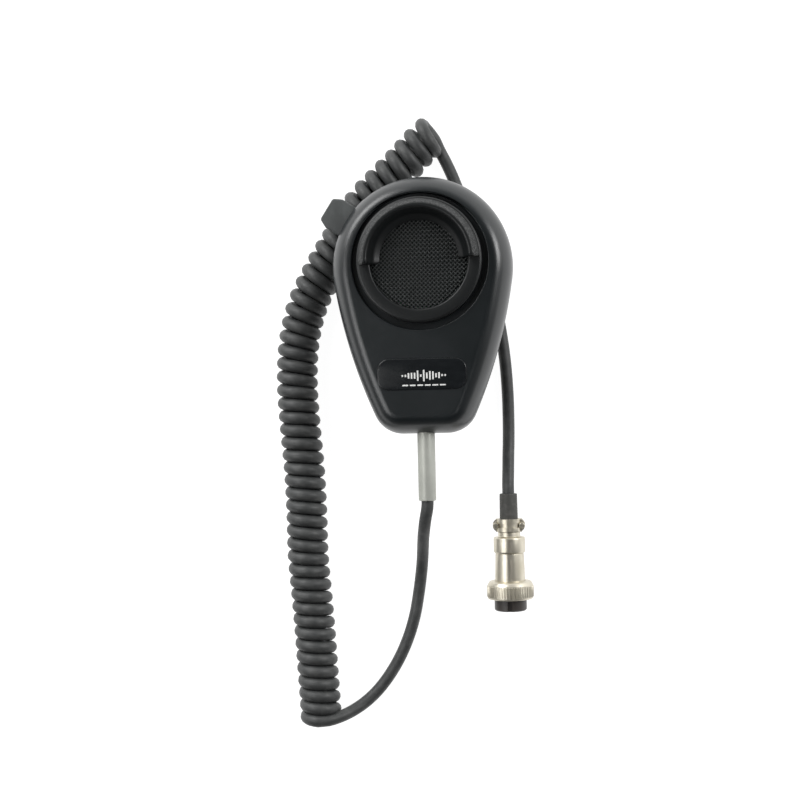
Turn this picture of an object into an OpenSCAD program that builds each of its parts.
// Hand microphone with a curly cord and a round locking plug.
// It lies on its back: +Z points out of the front face and +Y towards its top. The origin is the
// middle of the hang-up button's face, which stands on the table and is on the head's centre line.

/* [Housing] */
// Radius of the round head
head_r = 36.5; // [36:0.1:37]
// Radius of the long arc down each side
side_r = 210; // [200:1:220]
// Radius of the two bottom corners
corner_r = 12.4; // [12:0.1:13]
// Height of the back face
back_z = 7; // [6.8:0.1:7.2]
// Height of the line where the two shells meet
parting_z = 27; // [26.8:0.1:27.2]
// Radius of the front shell's rounded edge, seen in section
bevel_r = 13.6; // [13.2:0.1:14]
// Thickness of the shells
wall = 2.2; // [1.8:0.1:2.4]

/* [Mouthpiece] */
// How far the mouthpiece sits above the head's centre
mouth_y = 2; // [1.5:0.1:2.5]
// Radius of the well that the mouthpiece sits in
well_r = 27.2; // [26.5:0.1:27.5]
// Outer radius of the mouthpiece
mouth_r = 25; // [24.5:0.1:25.5]
// Radius of its opening
opening_r = 19.6; // [19:0.1:20]
// Height of the lip guard's crest
crest_z = 46; // [44:0.5:48]

/* [Talk key] */
// Direction of the talk key from the head's centre, in degrees
key_angle = 147; // [145:1:149]
// Distance of the key's outer face from the head's centre
key_reach = 46; // [44:0.5:47]
// Width of that outer face
key_face_w = 9.8; // [9:0.1:10.5]
// How far the key goes in
key_travel = 3; // [2.5:0.1:3]

/* [Hang-up button] */
// Radius of the button's head
button_r = 8; // [7:0.1:8.5]
// Thickness of the button's head
button_t = 2.2; // [2:0.1:2.4]
// Radius of its shank
shank_r = 4.2; // [3.8:0.1:4.4]

/* [Cord] */
// Diameter of the cord
cord_d = 5; // [4.8:0.1:5.2]
// Outer diameter of the curly part
coil_d = 17.5; // [17:0.1:17.5]
// Diameter of the metal strain-relief tube
tube_d = 7.2; // [7:0.1:7.4]
// Where the strain-relief tube ends
tube_end_y = -94.3; // [-96:0.1:-92]

/* [Plug] */
// Distance of the plug's axis from the microphone's axis
plug_x = 31.8; // [31:0.1:32]
// Radius over the knurling of the coupling ring
ring_r = 9.65; // [9.4:0.05:9.9]
// Radius of the barrel that the coupling ring runs on
barrel_r = 6.2; // [6.1:0.05:6.3]
// Radius of the insert where it stands out of the ring
insert_r = 6.65; // [6.5:0.05:6.8]
// How far the coupling ring slides
ring_travel = 3.4; // [3:0.1:3.4]

/* [Hidden] */
$fn = 64;

// Outline: a round head, a long arc down each side and two rounded bottom corners. Each arc runs
// on from the last without a kink. The angles are those of the outward normal below the X axis.
neck_angle = 8.5;
toe_angle = 24;
side_c = (head_r - side_r) * [cos(neck_angle), -sin(neck_angle)];
corner_c = side_c + (side_r - corner_r) * [cos(toe_angle), -sin(toe_angle)];
bottom_y = corner_c[1] - corner_r;

function arc(c, r, a0, a1, n) =
    [for (i = [1:n]) let (a = a0 + (a1 - a0) * i / n) c + r * [cos(a), sin(a)]];

// Right half of the outline, moved in by an inset. Past its own radius the corner stays just round.
function right_half(inset) =
    let (r = max(corner_r - inset, 0.4), reach = side_r - inset - r,
         toe = asin((side_c[1] - bottom_y - inset - r) / reach),
         c = side_c + reach * [cos(toe), -sin(toe)])
    concat(arc([0, 0], head_r - inset, 90, -neck_angle, 18),
        arc(side_c, side_r - inset, -neck_angle, -toe, 5), arc(c, r, -toe, -90, 6));

function outline(inset) =
    let (p = right_half(inset), n = len(p))
    concat([[0, head_r - inset]], p, [for (i = [n - 1:-1:0]) [-p[i][0], p[i][1]]]);

// Closed body through a list of levels from the bottom up, each a height and an inset
module lofted(levels) {
    top = len(levels) - 1;
    n = len(outline(0));
    polyhedron(
        points = [for (l = levels, p = outline(l[1])) [p[0], p[1], l[0]]],
        faces = concat([[for (k = [n - 1:-1:0]) k]],
            [for (i = [0:top - 1], k = [0:n - 1])
                let (a = i * n + k, b = i * n + (k + 1) % n)
                [a, b, b + n, a + n]],
            [[for (k = [0:n - 1]) top * n + k]]),
        convexity = 4);
}

// Back edge of the rear shell: a 45 degree slope that leaves room for the cord lying beside it
slope_sum = 20.5;
slope_wall = wall * sqrt(2);
floor_z = back_z + wall;
rear_levels = [[back_z, 13.2], [9, slope_sum - 9], [19.4, slope_sum - 19.4], [21, 0],
    [parting_z, 0]];
rear_inner = [[floor_z, slope_sum + slope_wall - floor_z], [slope_sum + 0.9, wall],
    [parting_z + 1, wall]];

// Front edge: a round of bevel_r that stops short of the flat face, which leaves a fine edge
bevel_end = 54;
face_z = parting_z + bevel_r * sin(bevel_end);
inner_bevel_r = bevel_r - wall;
front_levels = [for (a = [0:9:bevel_end])
    [parting_z + bevel_r * sin(a), bevel_r * (1 - cos(a))]];
front_inner = concat([[parting_z - 1, wall]], [for (a = [0:10:50])
    [parting_z + inner_bevel_r * sin(a), wall + inner_bevel_r * (1 - cos(a))]]);

// Mouthpiece well and what sits in it
well_z = 35.5;
well_floor = 2.2;
floor_hole_r = 18.5;
mesh_z = 38.2;
mesh_t = 0.7;
mesh_r = 21.4;
lip_z = 41;
guard_r = 15.8;
guard_z = mesh_z + mesh_t + 0.3;
guard_from = 2.5;
guard_span = 179;
boot_r = 15;
boot_z = 24;
can_r = 11.1;

// Case screws, one in the head and two beside the cord clamp
screw_places = [[0, 20.2], [7, -48], [-7, -48]];
boss_r = 2.7;
screw_head_r = 2.4;
screw_r = 1.4;
screw_gap = 0.06;

// Talk key and switch, drawn along +X and turned to key_angle
key_z = [19.9, 28.9];
key_root_w = 13.4;
key_shoulder = 42;
key_gap = 0.3;
window_x = 29;
flange_x = [30.6, 32.2];
flange_w = 17.6;
flange_low = 21.6;
switch_x = [17.2, 27.2];
switch_w = 12;
switch_z = [20, 27.8];
switch_post_rise = 13.5;
plunger_w = 5;
plunger_x = [23, flange_x[0] - 0.2];
spring_wire_r = 0.14;
spring_pitch = 0.3;
spring_turns = 5;
slot_x = plunger_x[0] - spring_pitch * spring_turns - key_travel - 0.1;

// Board and what is on it
board_z = 13.4;
board_t = 1.6;
board_w = 26;
board_y = [-44.5, -7];
board_screw_x = 10.5;
board_screw_y = [-10, -41.5];
board_boss_r = 2.4;

// Cord entry
tube_r = tube_d / 2;
tube_in_y = -60;
nut_y = [-63.8, -61.4];
nut_r = 5.4;
clamp_y = [-58.5, -53.5];
clamp_w = 16;
clamp_screw_x = 5.8;
core_end_y = -50;

// Plug stations along -Y, from the cord to the tip
sleeve_y = -93.1;
saddle_y = [-103.5, -108.8];
barrel_y = -111;
joint_y = -117.4;
ring_y = [-129, -136.4];
tip_y = -141.3;
sleeve_r = 3.75;
rear_barrel_r = 6.5;
shoulder_r = 7.4;
ring_bore_r = 7.95;
lip_t = 1.5;
washer_t = 0.8;
washer_y = ring_y[0] - lip_t - 0.1;
shoulder_y = [washer_y - washer_t - ring_travel - 0.1, -136.3];
run = 0.08;
knurls = 48;
contact_circle = 3.1;

// Routes of the cord's stretches, and the centre line of its curly part. The lead drops from the
// tube to the table and climbs to the top of the first turn; the tail runs on the table from the
// last turn, under the microphone, and rises to the plug.
coil_z = coil_d / 2;
lead_route = [[0, tube_end_y, 27], [0, -97.5, 27], [-0.5, -101.5, 25.8], [-1.5, -105.5, 22.8],
    [-2.6, -110, 18], [-3.6, -114.5, 13], [-4.6, -119, 8.8], [-5.5, -124, 5.4], [-6.4, -130, 3.2],
    [-7.5, -136.5, 2.6], [-9, -144, 2.6], [-11.6, -152.5, 2.6], [-15.2, -161, 2.6],
    [-19.6, -168.5, 2.6], [-25, -175.5, 3.2], [-30.5, -180.5, 5.2], [-36, -183.8, 8.2],
    [-41, -185.6, 11.6], [-45, -186.4, 14], [-49, -186.5, 15]];
coil_route = [[-48.9, -189], [-49.2, -180], [-50, -165], [-50.8, -150], [-51.8, -135],
    [-53, -118], [-53.2, -100], [-53.8, -82], [-55.2, -63], [-56, -45], [-54.8, -28],
    [-51, -13], [-44, 1], [-35.5, 14.5], [-26.5, 28], [-17.5, 37], [-9, 45], [-3, 51.2],
    [0.9, 54.9], [4.2, 57.3]];
tail_route = [[3.5, 56.6, 2.6], [6.7, 52, 2.6], [8.5, 47, 2.6], [10.9, 40.7, 2.6], [13, 35, 2.6],
    [17.5, 24, 2.6], [22, 10, 2.6], [26.3, -7, 2.6], [29.5, -23, 2.6], [31.4, -38, 2.6],
    [32.2, -52, 2.6], [32.3, -63, 2.7], [32.2, -71, 3.6], [32, -78, 5.4], [31.9, -84, 7.5],
    [plug_x, -89, 9.2], [plug_x, sleeve_y, ring_r]];

function unit(v) = v / norm(v);

function heading(p, i) = unit(p[min(i + 1, len(p) - 1)] - p[max(i - 1, 0)]);

// One ring of points round a route, square to it
function ring_at(p, i, r, sides) =
    let (t = heading(p, i), side = unit(cross([0, 0, 1], t)), up = cross(t, side))
    [for (k = [0:sides - 1]) let (a = 360 * (k + 0.5) / sides)
        p[i] + r * (cos(a) * side + sin(a) * up)];

// Closed tube of radius r swept along a route
module swept(p, r, sides) {
    n = len(p);
    polyhedron(
        points = [for (i = [0:n - 1]) each ring_at(p, i, r, sides)],
        faces = concat(
            [[for (k = [0:sides - 1]) k]],
            [for (i = [0:n - 2], k = [0:sides - 1])
                let (a = i * sides + k, b = i * sides + (k + 1) % sides)
                [a, a + sides, b + sides, b]],
            [[for (k = [sides - 1:-1:0]) (n - 1) * sides + k]]),
        convexity = 6);
}

// Upright cylinder between two heights
module post(x, y, z0, z1, r) {
    translate([x, y, z0]) cylinder(h = z1 - z0, r = r);
}

// Box between two corners
module block(a, b) {
    translate(a) cube(b - a);
}

// Cylinder along -Y between two stations, at a place in X and Z
module rod(x, z, y0, y1, r) {
    translate([x, y0, z]) rotate([90, 0, 0]) cylinder(h = y0 - y1, r = r);
}

// Turned piece on the plug's axis: each profile point is a radius and a station
module turned(profile) {
    translate([plug_x, 0, ring_r]) rotate([-90, 0, 0]) rotate_extrude() polygon(profile);
}

module at_key() {
    rotate([0, 0, key_angle]) children();
}

// ---- Housing ----

module key_window() {
    half = key_root_w / 2 + key_gap;
    at_key()
        block([window_x, -half, key_z[0] - key_gap], [40, half, key_z[1] + key_gap]);
}

module rear_shell() {
    color("#2c3032") difference() {
        union() {
            difference() {
                lofted(rear_levels);
                lofted(rear_inner);
            }
            for (p = screw_places) post(p[0], p[1], floor_z - 0.5, parting_z - 0.1, boss_r);
            for (x = [-1, 1], y = board_screw_y)
                post(x * board_screw_x, y, floor_z - 0.5, board_z, board_boss_r);
            post(0, 0, floor_z - 0.5, 10.8, 5);
            block([-clamp_w / 2, clamp_y[0], floor_z - 0.5],
                [clamp_w / 2, clamp_y[1], parting_z - 0.2]);
            at_key()
                for (x = [switch_x[0] + 1.8, switch_x[1] - 1.8], y = [-4.6, 4.6])
                    post(x, y, max(floor_z - 0.5, x - switch_post_rise), switch_z[0], 1.2);
        }
        for (p = screw_places) {
            post(p[0], p[1], back_z - 1, parting_z, screw_r + screw_gap);
            post(p[0], p[1], back_z - 1, floor_z, screw_head_r + 0.2);
        }
        for (x = [-1, 1], y = board_screw_y)
            post(x * board_screw_x, y, floor_z + 0.6, board_z + 1, 1.05 + screw_gap);
        for (x = [-1, 1])
            post(x * clamp_screw_x, -56, 20, parting_z, 1.1 + screw_gap);
        post(0, 0, back_z - 1, 12, 2.65);
        rod(0, parting_z, tube_in_y, bottom_y - 2, tube_r + 0.05);
        rod(0, parting_z, core_end_y, tube_in_y, cord_d / 2 + 0.05);
        key_window();
    }
}

module front_shell() {
    color("#26292b") difference() {
        union() {
            difference() {
                lofted(front_levels);
                lofted(front_inner);
            }
            translate([0, 1.5, 0]) post(0, 0, well_z - well_floor, face_z - 1.4, 29.2);
            difference() {
                post(0, mouth_y, parting_z + 1, well_z, boot_r + 1.8);
                post(0, mouth_y, parting_z, well_z + 1, boot_r + 0.1);
            }
            post(screw_places[0][0], screw_places[0][1], parting_z, well_z - 1, boss_r);
            for (i = [1, 2])
                post(screw_places[i][0], screw_places[i][1], parting_z, face_z - 1.6, boss_r);
        }
        translate([0, 1.5, 0]) post(0, 0, well_z, face_z + 1, well_r);
        post(0, mouth_y, well_z - well_floor - 1, well_z + 1, floor_hole_r);
        post(0, mouth_y, parting_z, well_z - well_floor, boot_r + 0.1);
        for (p = screw_places)
            post(p[0], p[1], parting_z - 1, 32, screw_r + screw_gap);
        translate([0, 0, face_z - 0.7]) linear_extrude(2) plate_shape(0.15);
        rod(0, parting_z, tube_in_y, bottom_y - 2, tube_r + 0.05);
        key_window();
    }
}

// ---- Mouthpiece ----

// Round cap with a rebate for the mesh, and a lip guard over its upper half that scoops in
// from its crest to the mesh
module mouthpiece() {
    rebate_r = mesh_r + 0.1;
    color("#232628") translate([0, mouth_y, 0]) {
        rotate_extrude()
            polygon([[rebate_r, well_z], [mouth_r, well_z], [mouth_r, lip_z - 1.2],
                [mouth_r - 1, lip_z], [opening_r + 0.6, lip_z], [opening_r, lip_z - 0.6],
                [opening_r, mesh_z + mesh_t], [rebate_r, mesh_z + mesh_t]]);
        rotate([0, 0, guard_from]) rotate_extrude(angle = guard_span)
            polygon([[guard_r, guard_z], [opening_r + 0.2, guard_z],
                [opening_r + 0.2, lip_z - 0.5], [mouth_r - 0.8, lip_z - 0.5],
                [mouth_r - 1, lip_z + 0.6], [opening_r + 2.2, crest_z],
                [opening_r + 1.2, crest_z], [opening_r + 0.3, crest_z - 0.8],
                [guard_r + 1.6, guard_z + 2.2], [guard_r, guard_z + 0.5]]);
    }
}

module mesh_screen() {
    color("#333a3a") post(0, mouth_y, mesh_z, mesh_z + mesh_t, mesh_r);
}

module foam_pad() {
    color("#1d1f20") post(0, mouth_y, well_z - well_floor + 0.2, mesh_z, floor_hole_r - 0.2);
}

module plate_shape(gap) {
    hull()
        for (x = [-13.2, 13.2], y = [-1.6, 1.6])
            translate([x, -43.3 + y]) circle(r = 4.6 + gap, $fn = 32);
}

module name_plate() {
    color("#191c1e") translate([0, 0, face_z - 0.7]) linear_extrude(1) plate_shape(0);
}

module microphone_cartridge() {
    color("#b9bcbe") translate([0, mouth_y, 0]) rotate_extrude()
        polygon([[0, 26], [can_r - 0.4, 26], [can_r, 26.4], [can_r, 32.6], [can_r - 0.4, 33],
            [8.4, 33], [8.4, 32.6], [0, 32.6]]);
}

module cartridge_boot() {
    color("#303234") translate([0, mouth_y, 0]) rotate_extrude()
        polygon([[8, boot_z], [boot_r, boot_z], [boot_r, 33.2], [can_r + 0.01, 33.2],
            [can_r + 0.01, 25.9], [8, 25.9]]);
}

// ---- Talk key and switch ----

// A rubbery key that narrows outwards, with a flange behind the housing's wall
module talk_key() {
    tip = key_face_w / 2;
    root = key_root_w / 2;
    turn_r = 1.6;
    color("#565b5e") at_key() difference() {
        union() {
            translate([0, 0, key_z[0]]) linear_extrude(key_z[1] - key_z[0]) hull() {
                for (y = [-1, 1]) {
                    translate([key_reach - turn_r, y * (tip - turn_r)])
                        circle(r = turn_r, $fn = 32);
                    translate([key_shoulder, y * (root - 0.5)]) circle(r = 0.5, $fn = 16);
                }
                translate([flange_x[0], -root]) square([1, 2 * root]);
            }
            block([flange_x[0], -flange_w / 2, flange_low],
                [flange_x[1], flange_w / 2, key_z[1]]);
        }
        block([flange_x[0] - 1, -root - 1, key_z[0] - 1],
            [flange_x[1] + 0.4, root + 1, flange_low]);
    }
}

module switch_body() {
    half = plunger_w / 2 + 0.05;
    mid = (switch_z[0] + switch_z[1]) / 2;
    color("#3a3f44") at_key() difference() {
        block([switch_x[0], -switch_w / 2, switch_z[0]], [switch_x[1], switch_w / 2, switch_z[1]]);
        block([slot_x, -half, mid - half], [switch_x[1] + 1, half, mid + half]);
    }
}

module switch_plunger() {
    half = plunger_w / 2;
    mid = (switch_z[0] + switch_z[1]) / 2;
    color("#d8d6cc") at_key()
        block([plunger_x[0], -half, mid - half], [plunger_x[1], half, mid + half]);
}

// Return spring at its closed length, which is the room left behind the plunger at full travel
module return_spring() {
    mid = (switch_z[0] + switch_z[1]) / 2;
    color("#a9adb0") at_key() translate([plunger_x[0], 0, mid]) rotate([0, -90, 0])
        for (i = [0:spring_turns - 1])
            translate([0, 0, (i + 0.5) * spring_pitch])
                rotate_extrude($fn = 32)
                    translate([1.7, 0]) circle(r = spring_wire_r, $fn = 16);
}

module switch_terminals() {
    color("#c9a24b") at_key()
        for (x = [19.6, 22.2, 24.8], y = [-2.2, 2.2])
            block([x - 0.25, y - 0.6, 16.8], [x + 0.25, y + 0.6, switch_z[0]]);
}

// ---- Board ----

module circuit_board() {
    color("#1f5a3a") difference() {
        block([-board_w / 2, board_y[0], board_z], [board_w / 2, board_y[1], board_z + board_t]);
        for (x = [-1, 1], y = board_screw_y)
            post(x * board_screw_x, y, board_z - 1, board_z + board_t + 1, 1.25);
    }
}

module capacitors() {
    top = board_z + board_t;
    color("#22304a") {
        post(-6, -17, top, top + 6.5, 2.5);
        post(6.2, -21, top, top + 6.5, 2.5);
        post(-6.4, -25, top, top + 5, 2);
    }
}

module amplifier_chip() {
    top = board_z + board_t;
    color("#17181a") block([-3.2, -34.6, top + 0.4], [3.2, -25, top + 3.6]);
    color("#b8babc")
        for (x = [-1, 1], i = [0:3])
            translate([x * 3.5, -33.6 + i * 2.54, top - 0.02])
                translate([-0.3, -0.25, 0.02]) cube([0.6, 0.5, 2]);
}

module resistors() {
    top = board_z + board_t;
    color("#c8a877")
        for (i = [0:4])
            translate([7.2, -26.5 - i * 2.8, top + 0.85]) rotate([0, 90, 0])
                cylinder(h = 5, r = 0.8);
}

module wire_header() {
    top = board_z + board_t;
    color("#e6e2d6") block([-6, -41.5, top], [6, -37.5, top + 5]);
}

module board_screws() {
    top = board_z + board_t;
    color("#9da0a2")
        for (x = [-1, 1], y = board_screw_y) {
            post(x * board_screw_x, y, floor_z + 0.8, top + 0.2, 1.05);
            post(x * board_screw_x, y, top, top + 1.3, 2);
        }
}

// ---- Fasteners and hang-up button ----

module case_screws() {
    color("#8f9294")
        for (p = screw_places) {
            post(p[0], p[1], floor_z - 0.2, 31.5, screw_r);
            post(p[0], p[1], back_z + 0.3, floor_z, screw_head_r);
        }
}

module hang_button() {
    edge = 0.3;
    color("#b4b7b9") rotate_extrude()
        polygon([[0, 0], [button_r - edge, 0], [button_r, edge], [button_r, button_t - edge],
            [button_r - edge, button_t], [shank_r, button_t], [shank_r, back_z], [2.6, back_z],
            [2.6, 10.7], [screw_r + screw_gap, 10.7], [screw_r + screw_gap, 4], [0, 4]]);
}

module button_screw() {
    color("#9da0a2") {
        post(0, 0, 4.6, 10.9, screw_r);
        post(0, 0, 10.8, 12.5, 3.4);
    }
}

// ---- Cord entry ----

module strain_tube() {
    color("#c3c6c8") translate([0, 0, parting_z]) rotate([-90, 0, 0]) rotate_extrude()
        polygon([[cord_d / 2 + 0.05, tube_end_y], [tube_r - 0.4, tube_end_y],
            [tube_r, tube_end_y + 0.4], [tube_r, tube_in_y], [cord_d / 2 + 0.05, tube_in_y]]);
}

module tube_nut() {
    color("#b09a5c") difference() {
        translate([0, nut_y[1], parting_z]) rotate([90, 0, 0])
            cylinder(h = nut_y[1] - nut_y[0], r = nut_r, $fn = 6);
        rod(0, parting_z, nut_y[1] + 1, nut_y[0] - 1, tube_r + 0.03);
    }
}

module cord_clamp() {
    color("#9da0a2") difference() {
        block([-clamp_w / 2, clamp_y[0], parting_z + 0.1], [clamp_w / 2, clamp_y[1], 31]);
        rod(0, parting_z, clamp_y[1] + 1, clamp_y[0] - 1, cord_d / 2 + 0.05);
        for (x = [-1, 1])
            post(x * clamp_screw_x, -56, parting_z, 32, 1.2);
    }
}

module clamp_screws() {
    color("#8f9294")
        for (x = [-1, 1]) {
            post(x * clamp_screw_x, -56, 20.5, 31.2, 1.1);
            post(x * clamp_screw_x, -56, 31, 32.3, 2);
        }
}

// The cord's end inside the tube and the clamp
module cord_core() {
    color("#3a3d3f") rod(0, parting_z, core_end_y, tube_end_y, cord_d / 2);
}

// Thin wires from the cord to the header, from the cartridge and from the switch to the board
module inner_wires() {
    wire = 0.6;
    top = board_z + board_t;
    switch_foot = 17.6;
    color("#8a2f2a")
        for (i = [0:3]) {
            x = -1.2 + i * 0.8;
            spread = -3.9 + i * 2.6;
            swept([[x, core_end_y, 27], [x, -48.6, 27], [(x + spread) / 2, -45.5, 25],
                [spread, -41.8, 22.4], [spread, -39.6, 21], [spread, -39.5, top + 5]],
                wire * 0.55, 6);
        }
    color("#b9b3a0")
        for (x = [-2.4, 2.4])
            swept([[x, mouth_y, boot_z + 1.8], [x, -1, 22.5], [x, -7, 19.6], [x, -11.5, 17.4],
                [x, -13, top]], wire, 6);
    color("#5c6f8a") at_key()
        for (x = [18.9, 21.5])
            swept([[x, 0, switch_foot], [x - 5, 1.5, 17], [x - 12, 5.5, 17], [x - 19, 10, 16.8],
                [(x - 21.3) / 2, 14, top]], wire, 6);
}

// ---- Cord ----

module cord_lead() {
    color("#3c4042") swept(lead_route, cord_d / 2, 10);
}

module curly_cord() {
    color("#34383a")
        swept([for (p = coil_route) [p[0], p[1], coil_z]], coil_d / 2, 12);
}

module cord_tail() {
    color("#3c4042") swept(tail_route, cord_d / 2, 10);
}

// ---- Plug ----

module plug_sleeve() {
    color("#3a3b38") turned([[0, saddle_y[1] - 0.6], [sleeve_r, saddle_y[1] - 0.6],
        [sleeve_r, sleeve_y - 0.3], [sleeve_r - 0.3, sleeve_y], [0, sleeve_y]]);
}

// Rear half of the barrel, with the neck and the lower half of the cable clamp
module rear_barrel() {
    ear_x = 6.6;
    color("#c9c5b4") {
        difference() {
            union() {
                turned([[sleeve_r + 0.05, joint_y], [rear_barrel_r, joint_y],
                    [rear_barrel_r, barrel_y - 0.6], [rear_barrel_r - 0.6, barrel_y],
                    [4.6, barrel_y], [4.6, saddle_y[1]], [sleeve_r + 0.05, saddle_y[1]]]);
                difference() {
                    union() {
                        rod(plug_x, ring_r, saddle_y[0], saddle_y[1] - 0.2, 5.4);
                        block([plug_x - ear_x, saddle_y[1], ring_r - 1.9],
                            [plug_x + ear_x, saddle_y[0], ring_r]);
                    }
                    block([plug_x - 8, saddle_y[1] - 1, ring_r - 0.2],
                        [plug_x + 8, saddle_y[0] + 1, ring_r + 8]);
                }
            }
            rod(plug_x, ring_r, saddle_y[0] + 1, joint_y - 1, sleeve_r + 0.05);
            for (x = [-1, 1])
                post(plug_x + x * 5.4, -106.15, ring_r - 3, ring_r + 1, 0.8 + screw_gap);
        }
    }
}

module clamp_saddle() {
    color("#cfcbba") difference() {
        union() {
            rod(plug_x, ring_r, saddle_y[0], saddle_y[1] + 0.1, 5.4);
            block([plug_x - 6.6, saddle_y[1] + 0.1, ring_r], [plug_x + 6.6, saddle_y[0], ring_r + 2]);
        }
        block([plug_x - 8, saddle_y[1] - 1, ring_r - 8], [plug_x + 8, saddle_y[0] + 1, ring_r + 0.2]);
        rod(plug_x, ring_r, saddle_y[0] + 1, saddle_y[1] - 1, sleeve_r + 0.05);
        for (x = [-1, 1]) {
            post(plug_x + x * 5.4, -106.15, ring_r, ring_r + 6, 0.9);
            post(plug_x + x * 5.4, -106.15, ring_r + 2, ring_r + 6, 1.3);
        }
    }
}

module saddle_screws() {
    color("#dcd8c8")
        for (x = [-1, 1]) {
            post(plug_x + x * 5.4, -106.15, ring_r - 1.8, ring_r + 2.5, 0.8);
            post(plug_x + x * 5.4, -106.15, ring_r + 2, ring_r + 3.1, 1.2);
        }
}

// Front half of the barrel: a slight flare, the track for the coupling ring, and its stop
module front_barrel() {
    bore = 5.2;
    color("#c4bfac") turned([[bore, shoulder_y[1]], [shoulder_r, shoulder_y[1]],
        [shoulder_r, shoulder_y[0]], [barrel_r, shoulder_y[0]], [barrel_r, -127.5],
        [barrel_r - 0.35, joint_y], [bore, joint_y]]);
}

// Washer that carries the coupling ring forward until it meets the barrel's stop
module slip_washer() {
    front = washer_y - washer_t;
    outer = ring_bore_r - 0.15;
    color("#d9d4c2") turned([[barrel_r + run, front], [outer, front], [outer, washer_y],
        [barrel_r + run, washer_y]]);
}

module coupling_ring() {
    lip = ring_y[0] - lip_t;
    neck_r = ring_r - 0.5;
    knurl_y = ring_y[0] - 1;
    color("#c9c5b4") difference() {
        union() {
            turned([[4, lip], [neck_r, lip], [neck_r, knurl_y + 0.2], [ring_r - 1.6, ring_y[0]],
                [4, ring_y[0]]]);
            translate([plug_x, knurl_y, ring_r]) rotate([90, 0, 0])
                linear_extrude(knurl_y - ring_y[1])
                    polygon([for (i = [0:2 * knurls - 1]) let (a = 180 * i / knurls)
                        (ring_r - (i % 2) * 0.3) * [cos(a), sin(a)]]);
        }
        rod(plug_x, ring_r, lip, ring_y[1] - 1, ring_bore_r);
        rod(plug_x, ring_r, ring_y[0] + 1, lip - 1, barrel_r + run);
    }
}

module plug_insert() {
    base = ring_r;
    color("#4a4441") difference() {
        turned([[0, tip_y], [insert_r - 0.5, tip_y], [insert_r, tip_y + 0.5],
            [insert_r, shoulder_y[1] - 0.05], [5.15, shoulder_y[1] - 0.05], [5.15, -131], [0, -131]]);
        for (a = [45:90:315])
            rod(plug_x + contact_circle * cos(a), base + contact_circle * sin(a), -130, tip_y - 1,
                0.96);
        block([plug_x - 0.9, tip_y - 1, base + insert_r - 0.9],
            [plug_x + 0.9, shoulder_y[1] - 1, base + insert_r + 1]);
    }
}

module plug_contacts() {
    color("#cda64c")
        for (a = [45:90:315])
            translate([plug_x + contact_circle * cos(a), 0, ring_r + contact_circle * sin(a)])
                difference() {
                    rod(0, 0, -128, tip_y + 0.4, 0.9);
                    rod(0, 0, tip_y + 6, tip_y - 1, 0.5);
                }
}

rear_shell();
front_shell();
mouthpiece();
mesh_screen();
foam_pad();
name_plate();
microphone_cartridge();
cartridge_boot();
talk_key();
switch_body();
switch_plunger();
return_spring();
switch_terminals();
circuit_board();
capacitors();
amplifier_chip();
resistors();
wire_header();
board_screws();
case_screws();
hang_button();
button_screw();
strain_tube();
tube_nut();
cord_clamp();
clamp_screws();
cord_core();
inner_wires();
cord_lead();
curly_cord();
cord_tail();
plug_sleeve();
rear_barrel();
clamp_saddle();
saddle_screws();
front_barrel();
slip_washer();
coupling_ring();
plug_insert();
plug_contacts();
